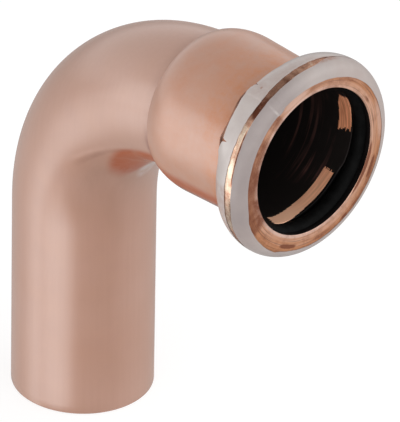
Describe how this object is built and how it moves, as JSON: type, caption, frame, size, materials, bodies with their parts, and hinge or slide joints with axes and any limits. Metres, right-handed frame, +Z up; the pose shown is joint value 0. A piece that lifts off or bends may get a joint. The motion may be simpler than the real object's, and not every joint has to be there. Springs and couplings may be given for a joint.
{
  "type": "press fit elbow fitting",
  "caption": "Copper press elbow: a plain tube end, a quarter bend and a beaded press socket with a rubber seal ring and a thin indicator film on the bead.",
  "frame": {"origin": "centre of the plain end's cut face", "axes": "+Z up along the plain end's axis towards the bend, +X along the socket's axis out of its mouth"},
  "size_m": [0.0598, 0.0322, 0.0763],
  "materials": {
    "copper": "satin",
    "rubber": "satin",
    "film": "satin"
  },
  "bodies": {
    "root": {"fitting_body": "copper", "seal_ring": "rubber", "indicator_band_rear": "film", "indicator_band_front": "film"}
  },
  "joints": []
}
